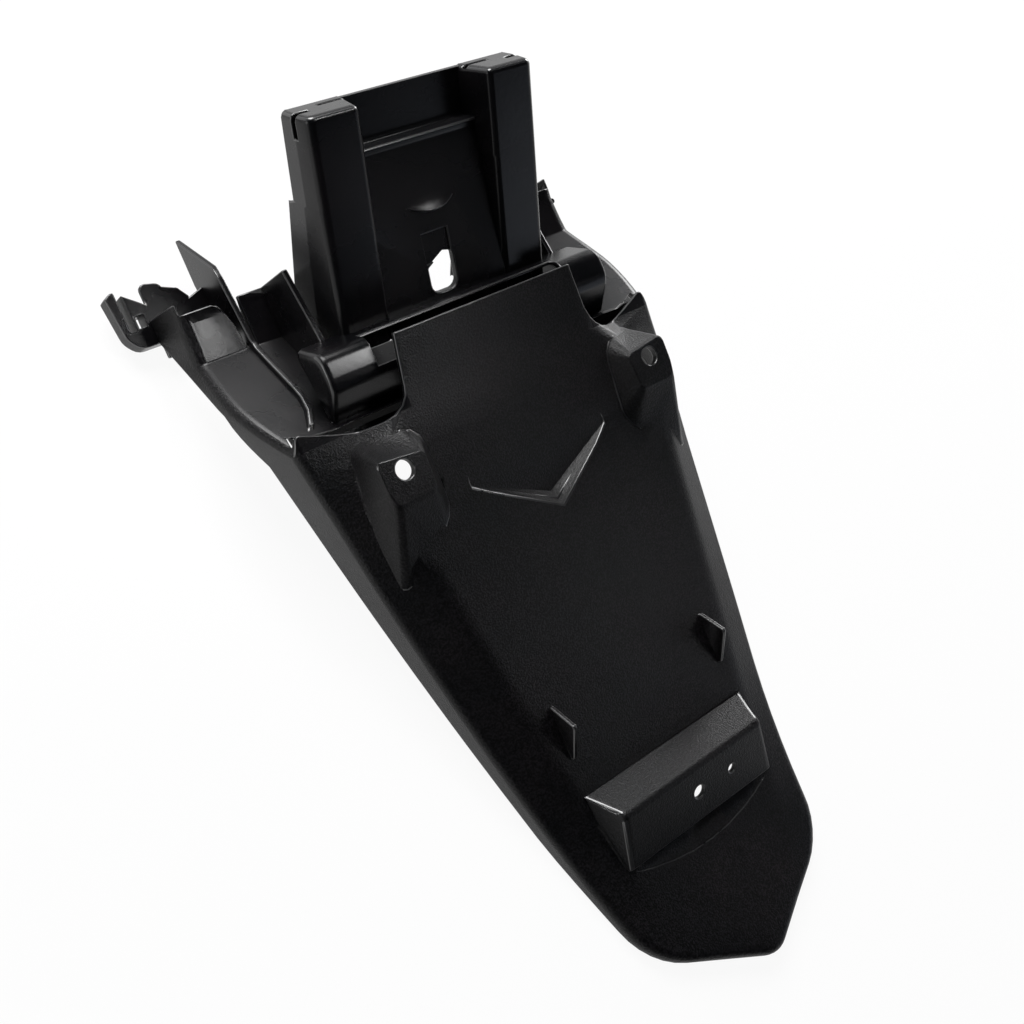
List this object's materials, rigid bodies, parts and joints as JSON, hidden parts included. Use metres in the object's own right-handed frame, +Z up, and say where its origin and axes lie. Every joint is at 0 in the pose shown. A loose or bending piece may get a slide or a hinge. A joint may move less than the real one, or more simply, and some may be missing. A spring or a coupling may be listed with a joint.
{
  "type": "motorcycle rear fender",
  "caption": "One-piece moulded rear fender: pointed flap with reflector bracket and bosses, tray with side wings, and a two-post tongue at the frame end.",
  "frame": {"origin": "middle of the bounding box in plan, on the ground that the part rests on", "axes": "+Y from the pointed tip towards the tongue, along the part's length; +Z up, out of the flap's outer face; +X to the part's right, seen from the tip"},
  "size_m": [0.2336, 0.3914, 0.1215],
  "materials": {
    "black_plastic": "fine grained, satin"
  },
  "bodies": {
    "root": {"rear_fender": "black_plastic"}
  },
  "joints": []
}
